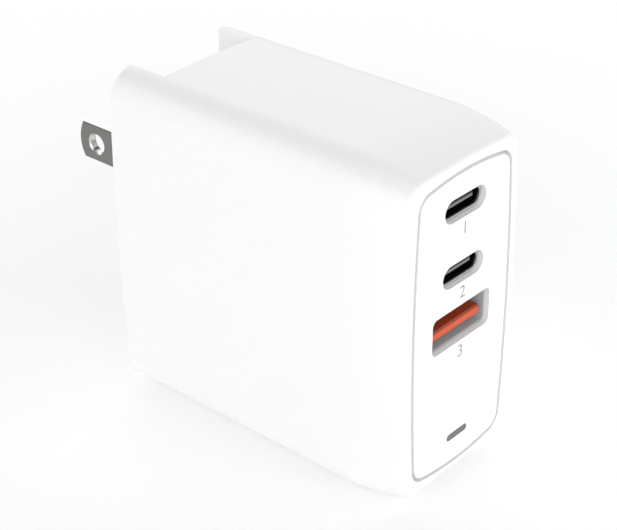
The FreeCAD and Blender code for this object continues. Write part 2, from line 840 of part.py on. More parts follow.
def make_contact_spring(label, side, top, strap_bottom, strap_top):
    body = new_body(label)
    bottom = blade_z - s.spring_half_height
    foot = s.spring_bump + s.rear_wall / 2
    crest = pivot_y - s.rotor_radius - s.spring_run_gap
    inner_crest = crest - s.spring_thickness
    start = side - s.spring_width / 2
    end = side + s.spring_width / 2
    add(body, "YZ_Plane", start, end, draw_profile, [
        (cavity_rear, bottom),
        (cavity_rear, blade_z - foot),
        (crest, blade_z - s.spring_bump),
        (crest, blade_z + s.spring_bump),
        (cavity_rear, blade_z + foot),
        (cavity_rear, top),
        (spring_face, top),
        (spring_face, blade_z + foot),
        (inner_crest, blade_z + s.spring_bump),
        (inner_crest, blade_z - s.spring_bump),
        (spring_face, blade_z - foot),
        (spring_face, bottom),
    ])
    tab_face = board_face - s.spring_thickness
    add(body, "XZ_Plane", spring_face, cavity_rear, draw_rectangle, smaller(start, tab_face),
        larger(end, board_face), strap_bottom, strap_top)
    add(body, "XZ_Plane", spring_face - s.strap_tab, spring_face, draw_rectangle,
        tab_face, board_face, strap_bottom, strap_top)


def make_contact_springs():
    left, right = blade_sides
    strap_top = blade_z + s.strap_rise
    make_contact_spring("contact_spring_left", left, strap_top, strap_top - s.strap_width, strap_top)
    bottom = blade_z - s.spring_half_height
    make_contact_spring("contact_spring_right", right, blade_z + s.spring_half_height,
                        bottom, bottom + s.strap_width)


def make_boards():
    port_board = new_body("port_board")
    add(port_board, "XZ_Plane", port_board_front, port_board_rear, draw_rounded, -board_half_width,
        board_half_width, board_bottom, board_top, s.board_corner_radius)
    main_board = new_body("main_board")
    step = room_top - s.board_gap
    add(main_board, "YZ_Plane", board_face, solder_face, draw_profile, [
        (port_board_rear, board_bottom),
        (board_room_rear, board_bottom),
        (board_room_rear, step),
        (board_rear, step),
        (board_rear, board_top),
        (port_board_rear, board_top),
    ])


# A body whose own Z axis stands on the main board, with its own X axis upright
def on_board(label, y, z):
    return new_body(label, Rotation(Vector(0, 1, 0), -90), (board_face, y, z))


def make_transformer():
    length_front = column_middle["front_column"] + column_width["front_column"] / 2 + s.core_gap
    length_rear = spring_face - s.strap_tab - s.core_gap
    core_length = length_rear - length_front
    core_side = core_length / 2
    core_end = s.core_width / 2
    post = core_length * s.core_post_share / 2
    window_side = core_side - core_length * s.core_leg_share
    window_low = s.bobbin_base + s.core_plate
    window_high = part_height - s.core_plate
    hole = (core_end + s.coil_fit, post + s.coil_fit)
    tube = (hole[0] + s.bobbin_wall, hole[1] + s.bobbin_wall)
    coil = (tube[0] + s.winding_thickness, window_side - s.coil_fit - s.winding_gap)
    flange = (coil[0] + s.flange_margin, window_side - s.coil_fit)
    place = ((length_front + length_rear) / 2, room_ceiling - flange[0])

    core = on_board("transformer_core", *place)
    add(core, "YZ_Plane", -core_end, core_end, draw_rectangle, -core_side, core_side,
        s.bobbin_base, part_height)
    for start, stop in ((-window_side, -post), (post, window_side)):
        cut(core, "YZ_Plane", -core_end, core_end, draw_rectangle, start, stop, window_low, window_high)

    flange_low = window_low + s.coil_fit
    flange_high = window_high - s.coil_fit
    bobbin = on_board("transformer_bobbin", *place)
    add(bobbin, "XY_Plane", flange_low, flange_high, draw_block, *tube)
    add(bobbin, "XY_Plane", flange_low, flange_low + s.bobbin_wall, draw_block, *flange)
    add(bobbin, "XY_Plane", flange_high - s.bobbin_wall, flange_high, draw_block, *flange)
    for start, stop in ((-flange[0], -hole[0]), (hole[0], flange[0])):
        add(bobbin, "XY_Plane", zero, flange_low, draw_rectangle, start, stop, -flange[1], flange[1])
    cut(bobbin, "XY_Plane", flange_low, flange_high, draw_block, *hole)

    winding = on_board("transformer_winding", *place)
    coil_low = flange_low + s.bobbin_wall
    coil_high = flange_high - s.bobbin_wall
    add(winding, "XY_Plane", coil_low, coil_high, draw_rounded, -coil[0], coil[0], -coil[1], coil[1],
        s.winding_radius)
    cut(winding, "XY_Plane", coil_low, coil_high, draw_block, *tube)


def make_can(label, diameter, height, y, z):
    body = on_board(label, y, z)
    add(body, "XY_Plane", zero, height, draw_circle, zero, zero, diameter)


def make_moulding(label, length, width, height, y, z):
    body = on_board(label, y, z)
    add(body, "XY_Plane", zero, height, draw_block, width / 2, length / 2)


def make_choke():
    cover = s.choke_wire + s.choke_fit
    reach = smaller(column_width["choke_column"], low_height * s.choke_share) / 2
    place = (column_middle["choke_column"], room_floor + reach)
    outer = reach - cover
    inner = reach * s.choke_bore_share
    high = cover + s.choke_height
    core = on_board("choke_core", *place)
    add(core, "XY_Plane", cover, high, draw_circle, zero, zero, outer * 2)
    cut(core, "XY_Plane", cover, high, draw_circle, zero, zero, inner * 2)

    winding = on_board("choke_winding", *place)
    sketch = new_sketch(winding, "XZ_Plane")
    draw_rectangle(sketch, inner - cover, outer + cover, zero, high + cover)
    draw_rectangle(sketch, inner - s.choke_fit, outer + s.choke_fit, s.choke_wire, high + s.choke_fit)
    coil = winding.newObject("PartDesign::Revolution", "choke_winding_coil")
    coil.Profile = (sketch, [""])
    coil.ReferenceAxis = (sketch, ["V_Axis"])
    coil.setExpression("Angle", s.choke_wire_angle.text)
    doc.recompute()
    pair = winding.newObject("PartDesign::PolarPattern", "choke_winding_pair")
    pair.Originals = [coil]
    pair.Axis = (sketch, ["V_Axis"])
    pair.Angle = 360
    pair.Occurrences = 2
    winding.Tip = pair
    doc.recompute()


def make_disc_capacitor(y, z):
    body = on_board("y_capacitor", y, z)
    half = s.disc_thickness / 2
    lead = s.disc_lead_width / 2
    add(body, "XZ_Plane", -half, half, draw_circle, zero, s.disc_lead + s.disc_diameter / 2,
        s.disc_diameter)
    for side in (-s.disc_lead_spread / 2, s.disc_lead_spread / 2):
        add(body, "XY_Plane", zero, s.disc_lead + s.disc_diameter / 2, draw_block, lead, lead, side)


def make_front_column():
    y = column_middle["front_column"]
    inductor_length = column_width["front_column"]
    spans = (s.disc_diameter, inductor_length, s.output_diameter, s.output_diameter)
    gap = (room_ceiling - room_floor) / (len(spans) - 1)
    for span in spans:
        gap = gap - span / (len(spans) - 1)
    heights = []
    edge = room_floor
    for span in spans:
        heights.append(edge + span / 2)
        edge = edge + span + gap
    make_disc_capacitor(y, heights[0])
    make_moulding("buck_inductor", inductor_length, inductor_length, s.inductor_height, y, heights[1])
    make_can("output_capacitor_2", s.output_diameter, s.output_height, y, heights[2])
    make_can("output_capacitor_1", s.output_diameter, s.output_height, y, heights[3])


def make_low_parts():
    diameter = smaller(column_width["bulk_column"], (low_height - s.part_gap) / 2)
    half_pitch = (diameter + s.part_gap) / 2
    low_middle = (room_floor + low_ceiling) / 2
    for number, z in enumerate((low_middle - half_pitch, low_middle + half_pitch), start=1):
        make_can(f"bulk_capacitor_{number}", diameter, part_height, column_middle["bulk_column"], z)
    make_choke()
    filter_width = low_height * s.filter_share
    make_moulding("x_capacitor", column_width["choke_column"], filter_width, s.filter_height,
                  column_middle["choke_column"], low_ceiling - filter_width / 2)
    fuse_width = low_height * s.fuse_share
    make_moulding("fuse", column_width["fuse_column"], fuse_width, s.fuse_height,
                  column_middle["fuse_column"], low_ceiling - fuse_width / 2)
    make_moulding("bridge_rectifier", column_width["fuse_column"], low_height * s.bridge_share,
                  s.bridge_height, column_middle["fuse_column"], room_floor + low_height * s.bridge_level)


def make_chips():
    switch = new_body("switch_chip")
    add(switch, "YZ_Plane", solder_face, pad_face, draw_block, s.switch_length / 2, s.switch_width / 2,
        cavity_rear - s.switch_inset, s.switch_rise)
    rectifier = new_body("rectifier_chip")
    add(rectifier, "YZ_Plane", solder_face, pad_face, draw_block, s.rectifier_length / 2,
        s.rectifier_width / 2, port_board_rear + s.rectifier_offset, s.body_height - s.rectifier_drop)
    controller = new_body("port_controller_chip")
    add(controller, "XZ_Plane", port_board_rear, port_board_rear + s.controller_thickness, draw_block,
        s.controller_length / 2, s.controller_length / 2, -s.controller_offset, s.controller_rise)


def make_cooling_stack():
    half_length = (board_rear - port_board_rear) / 2 - s.sheet_end_gap
    half_height = board_half_height - s.sheet_rail_gap
    mid_y = (port_board_rear + board_rear) / 2
    sheet_end = sheet_face + s.sheet_thickness
    layers = (
        ("insulating_sheet", sheet_face, sheet_end, zero),
        ("heat_spreader", spreader_face, sheet_face, s.sheet_margin),
        ("thermal_pad", pad_face, spreader_face, s.sheet_margin + s.pad_margin),
    )
    for label, start, end, margin in layers:
        add(new_body(label), "YZ_Plane", start, end, draw_block, half_length - margin,
            half_height - margin, mid_y, middle)


make_housing()
make_front_panel()
make_light_pipe()
for number, height in enumerate(port_heights, start=1):
    make_small_port(number, height)
make_wide_port()
make_plug_rotor()
for label, side in zip(("blade_left", "blade_right"), blade_sides):
    make_blade(label, side)
make_contact_springs()
make_boards()
make_transformer()
make_front_column()
make_low_parts()
make_chips()
make_cooling_stack()
doc.recompute()

for item in doc.Objects:
    if "Invalid" in item.State or "Error" in item.State:
        raise RuntimeError(f"{item.Name} failed")
for part in subparts:
    if part.Shape.isNull() or not part.Shape.isValid():
        raise RuntimeError(f"{part.Label} has no sound shape")

os.makedirs("parts", exist_ok=True)
for part in subparts:
    part.Shape.exportStep(f"parts/{part.Label}.step")
    print(part.Label, len(part.Shape.Solids), round(part.Shape.Volume, 2))
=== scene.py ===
import bpy
import bmesh
import json
import math
from mathutils import Matrix, Vector

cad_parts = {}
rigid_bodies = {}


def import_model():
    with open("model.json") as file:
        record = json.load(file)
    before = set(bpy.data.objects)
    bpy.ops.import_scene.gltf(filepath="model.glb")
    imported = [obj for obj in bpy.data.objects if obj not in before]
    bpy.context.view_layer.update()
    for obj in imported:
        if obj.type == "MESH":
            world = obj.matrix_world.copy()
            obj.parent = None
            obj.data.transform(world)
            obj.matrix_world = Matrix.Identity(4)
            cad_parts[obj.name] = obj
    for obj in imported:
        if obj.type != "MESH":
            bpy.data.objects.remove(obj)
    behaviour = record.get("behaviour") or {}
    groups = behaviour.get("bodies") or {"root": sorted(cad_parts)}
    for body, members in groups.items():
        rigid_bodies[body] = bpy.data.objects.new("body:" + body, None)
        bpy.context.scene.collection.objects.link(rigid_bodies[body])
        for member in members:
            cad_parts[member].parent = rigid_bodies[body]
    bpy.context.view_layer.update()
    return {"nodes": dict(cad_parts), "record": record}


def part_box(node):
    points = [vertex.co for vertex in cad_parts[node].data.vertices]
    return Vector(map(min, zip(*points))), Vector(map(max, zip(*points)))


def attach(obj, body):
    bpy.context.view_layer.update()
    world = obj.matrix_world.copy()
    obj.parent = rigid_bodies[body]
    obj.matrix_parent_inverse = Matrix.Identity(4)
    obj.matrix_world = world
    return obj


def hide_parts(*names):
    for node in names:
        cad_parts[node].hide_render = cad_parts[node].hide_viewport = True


for leftover in list(bpy.data.objects):
    bpy.data.objects.remove(leftover)
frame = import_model()
mm = 0.001
nodes = frame["nodes"]
record = frame["record"]
nodeSlot = {part["node"]: part["material_slot"] for part in record["subparts"]}
mountPlace = {mount["name"]: Vector(mount["pos_m"]) for mount in record["mounts"]}
scene = bpy.context.scene


def addObject(name, data):
    item = bpy.data.objects.new(name, data)
    scene.collection.objects.link(item)
    return item


def aimed(place, target):
    turn = (Vector(target) - Vector(place)).to_track_quat("-Z", "Y").to_matrix().to_4x4()
    return Matrix.Translation(Vector(place)) @ turn


# In node trees a source is another node's socket or a fixed value
def feed(tree, source, socket):
    if isinstance(source, bpy.types.NodeSocket):
        tree.links.new(source, socket)
    else:
        socket.default_value = source


def addNode(tree, kind, inputs=None, **settings):
    node = tree.nodes.new(kind)
    for name, value in settings.items():
        setattr(node, name, value)
    for label, source in (inputs or {}).items():
        feed(tree, source, node.inputs[label])
    return node


def mathNode(tree, operation, *values):
    return addNode(tree, "ShaderNodeMath", dict(enumerate(values)), operation=operation).outputs["Value"]


# Camera and studio, as the photograph has them
cameraView = {
    "place": (-0.164221, -0.145087, 0.152502),
    "aim": (-0.002256, -0.000964, 0.0275),
    "roll": -0.0121,
    "lens": 96.57,
    "sensorWidth": 36.0,
    "clipStart": 10.0,
}
studio = {
    "skyStrength": 1.956,
    "skyStops": ((0.0, 0.0), (0.2, 1.0), (0.45, 0.797), (0.75, 0.0)),  # rise of the view, share of strength
    "floorSize": 6.0,
    "floorColor": (0.95, 0.95, 0.95),
    "floorRoughness": 0.9,
    "floorSpecular": 0.2,
    "floorGlow": (0.126, 0.5),  # keeps the shadow pale, and the far floor as white as the near one
    "glowReach": (0.07, 1.8),
    "softboxes": {
        "frontLeft": {"place": (-0.615, -0.615, 0.26), "watts": 1.71},
        "backRight": {"place": (0.473, 0.473, 0.629), "watts": 1.26},
        "front": {"place": (0.0, -0.669, 0.629), "watts": 1.19},
        "overhead": {"place": (0.0, 0.0, 0.927), "watts": 0.94},
    },
    "softboxSize": 0.7,
    "target": (0.0, 0.0, 0.027),
}


def addCamera(view):
    data = bpy.data.cameras.new("photoCamera")
    data.lens = view["lens"]
    data.sensor_width = view["sensorWidth"]
    data.sensor_fit = "HORIZONTAL"
    data.clip_start = view["clipStart"] * mm
    camera = addObject("photoCamera", data)
    camera.matrix_world = aimed(view["place"], view["aim"]) @ Matrix.Rotation(view["roll"], 4, "Z")
    scene.camera = camera


def addSky(setup):
    world = bpy.data.worlds.new("studioSky")
    world.use_nodes = True
    tree = world.node_tree
    coords = addNode(tree, "ShaderNodeTexCoord")
    split = addNode(tree, "ShaderNodeSeparateXYZ", {"Vector": coords.outputs["Generated"]})
    ramp = addNode(tree, "ShaderNodeValToRGB", {"Fac": split.outputs["Z"]})
    stops = ramp.color_ramp.elements
    while len(stops) < len(setup["skyStops"]):
        stops.new(1.0)
    for stop, (rise, share) in zip(stops, setup["skyStops"]):
        stop.position = rise
        stop.color = (share, share, share, 1)
    sky = tree.nodes["Background"]
    sky.inputs["Strength"].default_value = setup["skyStrength"]
    tree.links.new(ramp.outputs["Color"], sky.inputs["Color"])
    scene.world = world


def addSoftboxes(setup):
    for name, box in setup["softboxes"].items():
        data = bpy.data.lights.new(name, "AREA")
        data.shape = "SQUARE"
        data.size = setup["softboxSize"]
        data.energy = box["watts"]
        addObject(name, data).matrix_world = aimed(box["place"], setup["target"])


def addFloor(setup):
    half = setup["floorSize"] / 2
    corners = [(-half, -half, 0), (half, -half, 0), (half, half, 0), (-half, half, 0)]
    mesh = bpy.data.meshes.new("studioFloor")
    mesh.from_pydata(corners, [], [(0, 1, 2, 3)])
    paper = bpy.data.materials.new("floorPaper")
    paper.use_nodes = True
    tree = paper.node_tree
    shader = tree.nodes["Principled BSDF"]
    shader.inputs["Base Color"].default_value = (*setup["floorColor"], 1)
    shader.inputs["Roughness"].default_value = setup["floorRoughness"]
    shader.inputs["Specular IOR Level"].default_value = setup["floorSpecular"]
    shader.inputs["Emission Strength"].default_value = 1.0
    coords = addNode(tree, "ShaderNodeTexCoord")
    away = addNode(tree, "ShaderNodeVectorMath", {0: coords.outputs["Object"]}, operation="LENGTH")
    glow = addNode(tree, "ShaderNodeMapRange", {"Value": away.outputs["Value"]})
    for end, reach, level in zip(("Min", "Max"), setup["glowReach"], setup["floorGlow"]):
        glow.inputs["From " + end].default_value = reach
        glow.inputs["To " + end].default_value = level
    tree.links.new(glow.outputs["Result"], shader.inputs["Emission Color"])
    mesh.materials.append(paper)
    addObject("studioFloor", mesh)


addCamera(cameraView)
addSky(studio)
addSoftboxes(studio)
addFloor(studio)
scene.view_settings.view_transform = "Standard"
print("camera and studio set")

# Shared surface effects
patterns = {
    "cloudSize": 60.0,
    "cloudDetail": 3.0,
    "streakDetail": 4.0,
    "boardCloud": 300.0,
    "boardDarkest": 0.95,
    "patchSize": 140.0,  # patches of the board that show traces
    "patchLeast": 0.5,
    "traceBrick": {"Mortar Size": 0.05, "Mortar Smooth": 0.1, "Brick Width": 2.2, "Row Height": 0.7},
    "traceShift": {"offset": 0.37, "squash": 0.6, "squash_frequency": 3},
}


def newGroup(name, inputs):
    group = bpy.data.node_groups.new(name, "ShaderNodeTree")
    for label, kind, value in inputs:
        group.interface.new_socket(label, in_out="INPUT", socket_type=kind).default_value = value
    for label, kind in (("Color", "Color"), ("Roughness", "Float"), ("Height", "Float")):
        group.interface.new_socket(label, in_out="OUTPUT", socket_type="NodeSocket" + kind)
    return group, group.nodes.new("NodeGroupInput").outputs, group.nodes.new("NodeGroupOutput").inputs


def colorMix(tree, factor, first, second):
    blend = addNode(tree, "ShaderNodeMix", data_type="RGBA")
    sockets = {socket.identifier: socket for socket in (*blend.inputs, *blend.outputs)}
    for label, source in (("Factor_Float", factor), ("A_Color", first), ("B_Color", second)):
        feed(tree, source, sockets[label])
    return sockets["Result_Color"]


def noise(tree, place, scale, detail=2.0):
    pattern = addNode(tree, "ShaderNodeTexNoise", {"Vector": place, "Scale": scale, "Detail": detail})
    return pattern.outputs["Fac"]


def objectPlace(tree):
    return addNode(tree, "ShaderNodeTexCoord").outputs["Object"]


def vectorProduct(tree, first, second):
    both = addNode(tree, "ShaderNodeVectorMath", {0: first, 1: second}, operation="MULTIPLY")
    return both.outputs["Vector"]


# Uneven tone and gloss, both from one pattern
def toneAndGloss(group, start, end, pattern, color, darkest):
    shade = mathNode(group, "MULTIPLY_ADD", pattern, start["Tone"], darkest)
    tint = addNode(group, "ShaderNodeVectorMath", {0: color, "Scale": shade}, operation="SCALE")
    gloss = addNode(group, "ShaderNodeMapRange", {
        "Value": pattern, "To Min": start["Gloss Low"], "To Max": start["Gloss High"]})
    group.links.new(tint.outputs["Vector"], end["Color"])
    group.links.new(gloss.outputs["Result"], end["Roughness"])


# Fine moulded grain: cloudy tone, uneven gloss and a spark-eroded texture
def makeGrainGroup():
    group, start, end = newGroup("mouldedGrain", [
        ("Color", "NodeSocketColor", (0.8, 0.8, 0.8, 1)),
        ("Tone", "NodeSocketFloat", 0.02),
        ("Gloss Low", "NodeSocketFloat", 0.35),
        ("Gloss High", "NodeSocketFloat", 0.45),
        ("Grain Size", "NodeSocketFloat", 4000.0),
    ])
    place = objectPlace(group)
    cloud = noise(group, place, patterns["cloudSize"], patterns["cloudDetail"])
    darkest = mathNode(group, "SUBTRACT", 1.0, start["Tone"])
    toneAndGloss(group, start, end, cloud, start["Color"], darkest)
    group.links.new(noise(group, place, start["Grain Size"]), end["Height"])
    return group


# Drawn or rolled metal: streaks along one direction in tone, gloss and height
def makeStreakGroup():
    group, start, end = newGroup("rolledStreaks", [
        ("Color", "NodeSocketColor", (0.6, 0.6, 0.6, 1)),
        ("Tone", "NodeSocketFloat", 0.1),
        ("Gloss Low", "NodeSocketFloat", 0.25),
        ("Gloss High", "NodeSocketFloat", 0.45),
        ("Stretch", "NodeSocketVector", (6000.0, 300.0, 6000.0)),
    ])
    pulled = vectorProduct(group, objectPlace(group), start["Stretch"])
    streak = noise(group, pulled, 1.0, patterns["streakDetail"])
    darkest = mathNode(group, "SUBTRACT", 1.0, start["Tone"])
    toneAndGloss(group, start, end, streak, start["Color"], darkest)
    group.links.new(streak, end["Height"])
    return group


# Circuit board: broken runs of copper that show through the green mask
def makeTraceGroup():
    group, start, end = newGroup("boardTraces", [
        ("Color", "NodeSocketColor", (0.01, 0.09, 0.03, 1)),
        ("Trace Color", "NodeSocketColor", (0.03, 0.2, 0.08, 1)),
        ("Tone", "NodeSocketFloat", 0.1),
        ("Gloss Low", "NodeSocketFloat", 0.25),
        ("Gloss High", "NodeSocketFloat", 0.4),
        ("Pitch", "NodeSocketFloat", 500.0),
    ])
    place = objectPlace(group)
    split = addNode(group, "ShaderNodeSeparateXYZ", {"Vector": place})
    upward = split.outputs["Z"]
    # One board lies along y and the other along x
    across = mathNode(group, "ADD", split.outputs["X"], split.outputs["Y"])
    runs = []
    for first, second in ((across, upward), (upward, across)):
        flat = addNode(group, "ShaderNodeCombineXYZ", {"X": first, "Y": second}).outputs["Vector"]
        brick = addNode(group, "ShaderNodeTexBrick", {
            "Vector": flat, "Scale": start["Pitch"], **patterns["traceBrick"]}, **patterns["traceShift"])
        patch = noise(group, flat, patterns["patchSize"])
        shown = mathNode(group, "GREATER_THAN", patch, patterns["patchLeast"])
        runs.append(mathNode(group, "MULTIPLY", brick.outputs["Fac"], shown))
    copper = mathNode(group, "MAXIMUM", *runs)
    drawn = colorMix(group, copper, start["Color"], start["Trace Color"])
    cloud = noise(group, place, patterns["boardCloud"])
    toneAndGloss(group, start, end, cloud, drawn, patterns["boardDarkest"])
    group.links.new(copper, end["Height"])
    return group


effects = {"grain": makeGrainGroup(), "streak": makeStreakGroup(), "traces": makeTraceGroup()}

# Finishes, one for each material slot of the record
finishes = {
    "white_plastic": {"effect": "grain", "color": (0.86, 0.86, 0.865), "tone": 0.01, "gloss": (0.36, 0.44),
                      "grain": 5000.0, "bump": 0.03},
    "white_panel": {"effect": "grain", "color": (0.88, 0.88, 0.885), "tone": 0.01, "gloss": (0.4, 0.48),
                    "grain": 6000.0, "bump": 0.03},
    "grey_lens": {"effect": "grain", "color": (0.14, 0.14, 0.14), "tone": 0.04, "gloss": (0.4, 0.5),
                  "grain": 7000.0, "bump": 0.05},
    "white_chip": {"effect": "grain", "color": (0.8, 0.79, 0.7), "tone": 0.05, "gloss": (0.4, 0.5),
                   "grain": 8000.0, "bump": 0.05},
    "port_steel": {"effect": "streak", "color": (0.66, 0.66, 0.67), "tone": 0.12, "gloss": (0.28, 0.45),
                   "stretch": (5000.0, 400.0, 5000.0), "bump": 0.05, "metal": 1.0},
    "dark_moulding": {"effect": "grain", "color": (0.005, 0.005, 0.005), "tone": 0.2, "gloss": (0.7, 0.85),
                      "grain": 6000.0, "bump": 0.05, "specular": 0.05},
    "orange_moulding": {"effect": "grain", "color": (0.66, 0.08, 0.014), "tone": 0.08, "gloss": (0.38, 0.5),
                        "grain": 5000.0, "bump": 0.04},
    "contact_gold": {"effect": "streak", "color": (0.8, 0.55, 0.2), "tone": 0.1, "gloss": (0.2, 0.35),
                     "stretch": (6000.0, 500.0, 6000.0), "bump": 0.03, "metal": 1.0},
    "blade_metal": {"effect": "streak", "color": (0.225, 0.225, 0.215), "tone": 0.12, "gloss": (0.22, 0.38),
                    "stretch": (2500.0, 120.0, 2500.0), "bump": 0.06, "metal": 1.0},
    "spring_bronze": {"effect": "streak", "color": (0.62, 0.36, 0.16), "tone": 0.15, "gloss": (0.25, 0.4),
                      "stretch": (3000.0, 3000.0, 300.0), "bump": 0.05, "metal": 1.0},
    "ferrite": {"effect": "grain", "color": (0.03, 0.03, 0.033), "tone": 0.3, "gloss": (0.5, 0.8),
                "grain": 2500.0, "bump": 0.2, "depth": 0.02},
    "choke_coat": {"effect": "grain", "color": (0.02, 0.16, 0.06), "tone": 0.2, "gloss": (0.35, 0.6),
                   "grain": 2000.0, "bump": 0.15, "depth": 0.02},
    "copper_wire": {"effect": "streak", "color": (0.6, 0.2, 0.07), "tone": 0.15, "gloss": (0.18, 0.32),
                    "stretch": (2000.0, 2000.0, 2000.0), "bump": 0.04, "metal": 1.0},
    "capacitor_can": {"effect": "streak", "color": (0.72, 0.73, 0.75), "tone": 0.1, "gloss": (0.25, 0.4),
                      "stretch": (300.0, 3000.0, 3000.0), "bump": 0.04, "metal": 1.0},
    "yellow_case": {"effect": "grain", "color": (0.72, 0.48, 0.04), "tone": 0.06, "gloss": (0.3, 0.42),
                    "grain": 3000.0, "bump": 0.06},
    "blue_coat": {"effect": "grain", "color": (0.02, 0.08, 0.4), "tone": 0.12, "gloss": (0.25, 0.4),
                  "grain": 1800.0, "bump": 0.12, "depth": 0.02},
    "chip_black": {"effect": "grain", "color": (0.015, 0.015, 0.016), "tone": 0.25, "gloss": (0.55, 0.7),
                   "grain": 9000.0, "bump": 0.08},
    "pad_grey": {"effect": "grain", "color": (0.24, 0.26, 0.3), "tone": 0.15, "gloss": (0.7, 0.9),
                 "grain": 1500.0, "bump": 0.2, "depth": 0.02},
    "spreader_metal": {"effect": "streak", "color": (0.7, 0.71, 0.72), "tone": 0.12, "gloss": (0.3, 0.45),
                       "stretch": (2000.0, 150.0, 2000.0), "bump": 0.06, "metal": 1.0},
    "clear_film": {"effect": "grain", "color": (0.75, 0.75, 0.78), "tone": 0.04, "gloss": (0.15, 0.3),
                   "grain": 900.0, "bump": 0.05},
    "capacitor_sleeve": {"effect": "grain", "color": (0.02, 0.024, 0.05), "tone": 0.1, "gloss": (0.2, 0.3),
                         "grain": 1200.0, "bump": 0.06},
    "winding_tape": {"effect": "grain", "color": (0.75, 0.5, 0.03), "tone": 0.1, "gloss": (0.25, 0.4),
                     "grain": 1500.0, "bump": 0.08, "depth": 0.02},
    "board": {"effect": "traces", "color": (0.012, 0.09, 0.03), "trace": (0.03, 0.2, 0.07), "tone": 0.15,
              "gloss": (0.25, 0.4), "pitch": 550.0, "bump": 0.3, "depth": 0.03},
}
usualFinish = {"depth": 0.01, "metal": 0.0, "specular": 0.5}
effectSockets = {"tone": "Tone", "grain": "Grain Size", "stretch": "Stretch", "pitch": "Pitch"}
colorSockets = {"color": "Color", "trace": "Trace Color"}


def makeFinish(name, finish):
    finish = {**usualFinish, **finish}
    material = bpy.data.materials.new(name + "Finish")
    material.use_nodes = True
    tree = material.node_tree
    shader = tree.nodes["Principled BSDF"]
    effect = addNode(tree, "ShaderNodeGroup", node_tree=effects[finish["effect"]])
    effect.inputs["Gloss Low"].default_value, effect.inputs["Gloss High"].default_value = finish["gloss"]
    for key, label in effectSockets.items():
        if key in finish:
            effect.inputs[label].default_value = finish[key]
    for key, label in colorSockets.items():
        if key in finish:
            effect.inputs[label].default_value = (*finish[key], 1)
    shader.inputs["Metallic"].default_value = finish["metal"]
    shader.inputs["Specular IOR Level"].default_value = finish["specular"]
    bump = addNode(tree, "ShaderNodeBump", {
        "Strength": finish["bump"], "Distance": finish["depth"] * mm, "Height": effect.outputs["Height"]})
    tree.links.new(effect.outputs["Color"], shader.inputs["Base Color"])
    tree.links.new(effect.outputs["Roughness"], shader.inputs["Roughness"])
    tree.links.new(bump.outputs["Normal"], shader.inputs["Normal"])
    return material


materials = {slot: makeFinish(slot, finish) for slot, finish in finishes.items()}
for node, item in nodes.items():
    item.data.materials.clear()
    item.data.materials.append(materials[nodeSlot[node]])
print("finishes on", len(nodes), "nodes")

# Wide port: satin steel shell with painted shade on its front face, orange tongue with painted shade behind
# its front face
widePort = {
    "shellFinish": {"effect": "streak", "color": (0.56, 0.595, 0.6), "tone": 0.08, "gloss": (0.5, 0.65),
                    "stretch": (4000.0, 300.0, 4000.0), "bump": 0.04, "metal": 0.25},
    "frontDepth": 0.03,
    "paintedShades": {  # node: painted shade on the front face, painted shade behind it
        "usb_a_shell": ((0.72, 0.7, 0.7), (1.0, 1.0, 1.0)),
        "usb_a_tongue": ((1.0, 1.0, 1.0), (0.5, 0.425, 0.3)),
    },
}


# Painted shade: multiplies the base colour by a tint that changes with depth behind the part's front face
def tintByDepth(node, finish):
    material = makeFinish(node + "Depth", finish)
    tree = material.node_tree
    base = tree.nodes["Principled BSDF"].inputs["Base Color"]
    split = addNode(tree, "ShaderNodeSeparateXYZ", {"Vector": objectPlace(tree)})
    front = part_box(node)[0].y
    depth = addNode(tree, "ShaderNodeMapRange", {
        "Value": split.outputs["Y"], "From Min": front, "From Max": front + widePort["frontDepth"] * mm})
    first, behind = ((*tint, 1) for tint in widePort["paintedShades"][node])
    tint = colorMix(tree, depth.outputs["Result"], first, behind)
    tree.links.new(vectorProduct(tree, base.links[0].from_socket, tint), base)
    nodes[node].data.materials[0] = material


# painted shade: the shell's front face darker than the rest of it
tintByDepth("usb_a_shell", widePort["shellFinish"])
# painted shade: the tongue darker behind its front face, where the port's ceiling shades it
tintByDepth("usb_a_tongue", finishes["orange_moulding"])
print("wide port finished")

# Refined copies of visible nodes; lengths in millimetres, angles in degrees
meshWork = {
    "merge": 1e-4,
    "near": 0.01,
    "inwardLeast": 0.001,
    "splitReach": 1e-5,
    "flatAngle": 0.5,
    "sharpAngle": 35.0,
    "smoothAngle": 30.0,
}


def mergeClose(work):
    bmesh.ops.remove_doubles(work, verts=work.verts, dist=meshWork["merge"] * mm)


def mergedCopy(node):
    source = nodes[node].data
    mesh = bpy.data.meshes.new(node + "Copy")
    faces = [list(face.vertices) for face in source.polygons]
    mesh.from_pydata([vertex.co for vertex in source.vertices], [], faces)
    work = bmesh.new()
    work.from_mesh(mesh)
    mergeClose(work)
    flat = math.radians(meshWork["flatAngle"])
    bmesh.ops.dissolve_limit(work, angle_limit=flat, verts=work.verts, edges=work.edges)
    return mesh, work


def sharpEdges(work, test):
    sharp = math.radians(meshWork["sharpAngle"])
    return [edge for edge in work.edges
            if edge.calc_face_angle(0.0) > sharp and all(test(vertex.co) for vertex in edge.verts)]


def splitAcross(work, place, direction):
    everything = work.verts[:] + work.edges[:] + work.faces[:]
    bmesh.ops.bisect_plane(work, geom=everything, dist=meshWork["splitReach"] * mm, plane_co=place,
                           plane_no=direction)
    work.normal_update()


def fillMesh(mesh, work, finishNames):
    work.to_mesh(mesh)
    work.free()
    for name in finishNames:
        mesh.materials.append(materials[name])


def smoothUpTo(mesh, degrees):
    mesh.polygons.foreach_set("use_smooth", [True] * len(mesh.polygons))
    mesh.set_sharp_from_angle(angle=math.radians(degrees))


def addPiece(name, mesh, body, replaced=None):
    piece = addObject(name, mesh)
    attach(piece, body)
    if replaced:
        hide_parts(replaced)
